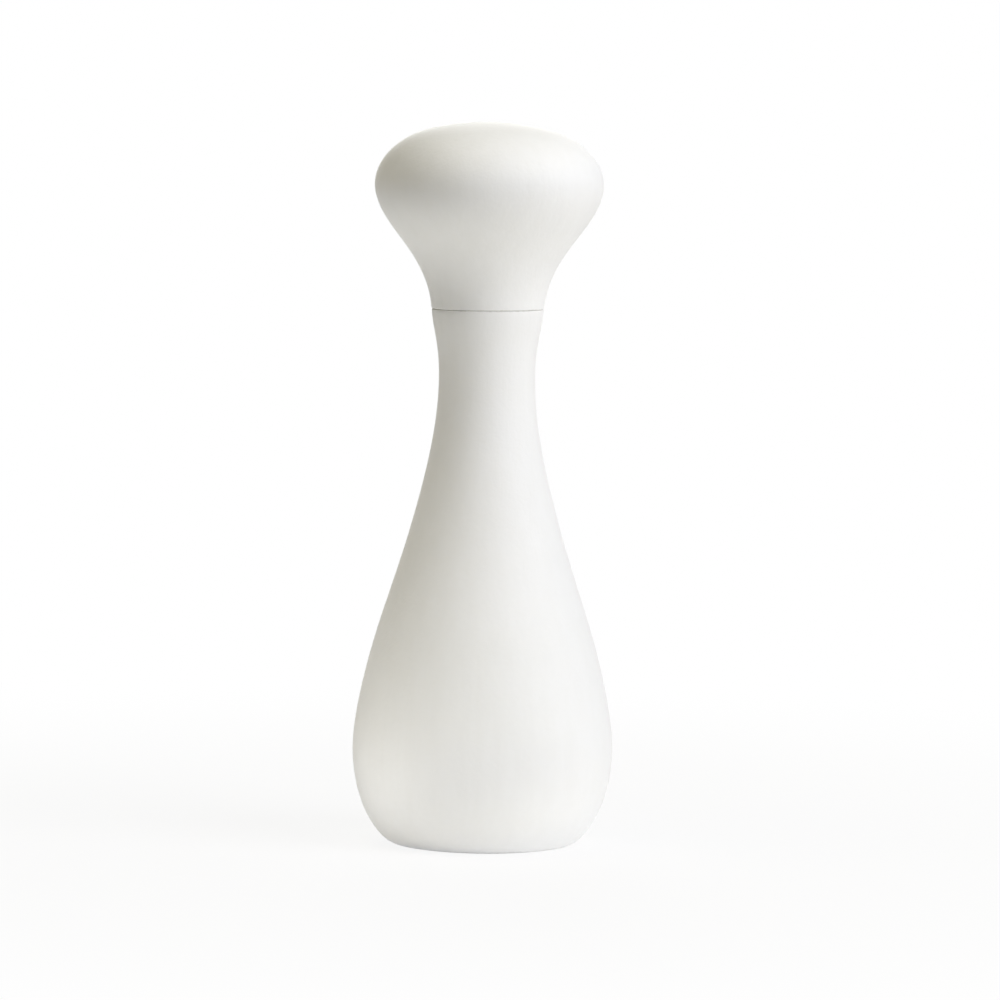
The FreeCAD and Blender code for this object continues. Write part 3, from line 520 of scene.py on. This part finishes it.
# Head: turned from the same beech and sprayed with the same lacquer. Its neck flares to a low
# round crown that fills the palm, and its bore holds the socket for the shaft.
HEAD_NECK_RADIUS = 15.6 * MM
HEAD_NECK_HEADING = (0.1, 0.995)
CROWN_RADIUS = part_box("head_shell")[1].x
CROWN_HEADING = (-1, 0)
HEAD_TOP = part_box("head_shell")[1].z
SOCKET_BORE_RADIUS = 8.05 * MM
SOCKET_BORE_TOP = 173 * MM
FLANGE_BORE_RADIUS = 13.05 * MM
FLANGE_DEPTH = 1.25 * MM
FLANGE_SEAT = HEAD_FOOT + LACQUER_BUILD + FLANGE_DEPTH
HEAD_KNOTS = [
    (HEAD_NECK_RADIUS, HEAD_FOOT + SEAM_ROUND),
    (17.2 * MM, 155.8 * MM),
    (22.8 * MM, 165.8 * MM),
    (29.2 * MM, 174.8 * MM),
    (CROWN_RADIUS, 183.2 * MM),
    (29.4 * MM, 189.5 * MM),
    (21.8 * MM, 196 * MM),
    (12 * MM, 198.9 * MM),
    (0, HEAD_TOP),
]
HEAD_BORES = [
    (0, SOCKET_BORE_TOP),
    (SOCKET_BORE_RADIUS, SOCKET_BORE_TOP),
    (SOCKET_BORE_RADIUS, FLANGE_SEAT),
    (FLANGE_BORE_RADIUS, FLANGE_SEAT),
    (FLANGE_BORE_RADIUS, HEAD_FOOT),
]
head_line = flowing(HEAD_KNOTS, HEAD_NECK_HEADING, CROWN_HEADING)
head_rim = (HEAD_NECK_RADIUS - SEAM_ROUND, HEAD_FOOT)
head_edge = [head_rim] + quarter_round(head_rim, (HEAD_NECK_RADIUS, HEAD_FOOT), head_line[0])
head = turn_on_axis("mill_head", HEAD_BORES + head_edge + head_line[1:])
bore_end = SOCKET_BORE_TOP + LACQUER_EDGE
paint(head, lacquer, beech, HEAD_NECK_RADIUS, HEAD_FOOT + LACQUER_EDGE, bore_end)
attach(head, "head")
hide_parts("head_shell")

# Floor and air: a wide matt white table top, and a dim room that is white to the eye. Away from the
# mill the table shows as plain white too, and round its foot it keeps some of the mill's shade.
FLOOR_REACH = 40.0
FLOOR_WHITE = (0.86, 0.855, 0.84, 1)
SHOWN_WHITE = 0.88
SHADE_FULL = 60 * MM
SHADE_GONE = 400 * MM
ROOM_TINT = (1, 0.955, 0.86, 1)
ROOM_LIGHT = 0.02
PLAIN_WHITE = (1, 1, 1, 1)


def seen_white(flow):
    """1 for a ray that the eye, a reflection or clear glass sends out, 0 for light on its way."""
    to_eye = flow.node("LightPath", {}, {}, "Is Camera Ray")
    mirrored = flow.node("LightPath", {}, {}, "Is Glossy Ray")
    refracted = flow.node("LightPath", {}, {}, "Is Transmission Ray")
    return to_eye + mirrored + refracted


bpy.ops.object.select_all(action="DESELECT")
bpy.ops.mesh.primitive_plane_add(size=2 * FLOOR_REACH)
floor = bpy.context.object
floor.name = "floor"
table_top, place = material("table_top")
away = place.node("VectorMath", {"operation": "LENGTH"}, {"Vector": place}, "Value")
shown = seen_white(place) * away.ramp(SHADE_FULL, SHADE_GONE, SHOWN_WHITE, 1.0)
matt = place.node("BsdfDiffuse", {}, {"Color": FLOOR_WHITE})
glow = place.node("Emission", {}, {"Color": PLAIN_WHITE, "Strength": 1.0})
blend = place.node("MixShader", {}, {"Fac": shown, "Shader": matt, "Shader_001": glow})
place.node("OutputMaterial", {}, {"Surface": blend})
floor.data.materials.append(table_top)

world = bpy.data.worlds.new("soft_air")
bpy.context.scene.world = world
world.use_nodes = True
world.node_tree.nodes.clear()
air = Flow(world.node_tree)
room = air.node("Background", {}, {"Color": ROOM_TINT, "Strength": ROOM_LIGHT})
white = air.node("Background", {}, {"Color": PLAIN_WHITE, "Strength": 1.0})
sky = air.node("MixShader", {}, {"Fac": seen_white(air), "Shader": room, "Shader_001": white})
air.node("OutputWorld", {}, {"Surface": sky})

# Lamps: a large window on the right, a ceiling, a warm skylight on the left and a pale wall behind,
# all soft. Four faint patches of lit table throw some light up under the belly and the head.
MIDDLE = Vector((0, 0, 110 * MM))
PATCH_HEIGHT = 0.3 * MM
UP = Vector((0, 0, 1))


def soft_lamp(name, place, size, watts, colour, heading=None):
    """A round soft lamp, turned to the mill's middle if it has no heading of its own."""
    bpy.ops.object.select_all(action="DESELECT")
    bpy.ops.object.light_add(type="AREA", location=place)
    lamp = bpy.context.object
    lamp.name = name
    lamp.rotation_euler = (heading or MIDDLE - Vector(place)).to_track_quat("-Z", "Y").to_euler()
    lamp.data.shape = "DISK"
    lamp.data.size = size
    lamp.data.energy = watts
    lamp.data.color = colour
    lamp.visible_camera = False


soft_lamp("window", (1.14, -0.675, 0.985), 1.3, 21.6, (0.948, 0.953, 1.0))
soft_lamp("ceiling", (0, -0.28, 1.68), 1.0, 3.9, (0.54, 0.71, 1.0))
soft_lamp("left_skylight", (-0.49, -0.2, 1.65), 1.0, 7.9, (1.0, 0.87, 0.55))
soft_lamp("back_wall", (-0.12, 1.5, 0.45), 0.8, 8.6, (0.95, 0.97, 1.0))
soft_lamp("back_patch", (0.0, 0.13, PATCH_HEIGHT), 0.18, 0.05, (0.97, 0.98, 1.0), UP)
soft_lamp("left_patch", (-0.103, -0.08, PATCH_HEIGHT), 0.15, 0.078, (0.98, 0.98, 0.985), UP)
soft_lamp("front_patch", (0.03, -0.115, PATCH_HEIGHT), 0.14, 0.012, (0.96, 1.0, 0.94), UP)
soft_lamp("foot_patch", (0.01, -0.07, PATCH_HEIGHT), 0.2, 0.025, (0.9, 0.92, 1.0), UP)

# Camera: a long lens 1.5 m from the mill and a little above its crown, about where the photograph
# was taken. It is rolled, because the mill stands a little out of upright in the picture.
EYE = Vector((0, -1.5, 215 * MM))
LOOKED_AT = Vector((4.03 * MM, 0, 95.4 * MM))
ROLL = math.radians(0.72)
SENSOR_WIDTH = 36
FOCAL_LENGTH = 195.4
bpy.ops.object.select_all(action="DESELECT")
bpy.ops.object.camera_add(location=EYE)
camera = bpy.context.object
camera.name = "camera"
camera.rotation_mode = "QUATERNION"
level = (LOOKED_AT - EYE).to_track_quat("-Z", "Y")
camera.rotation_quaternion = level @ Matrix.Rotation(ROLL, 3, "Z").to_quaternion()
camera.data.sensor_width = SENSOR_WIDTH
camera.data.lens = FOCAL_LENGTH
bpy.context.scene.camera = camera
bpy.context.scene.view_settings.view_transform = "Standard"
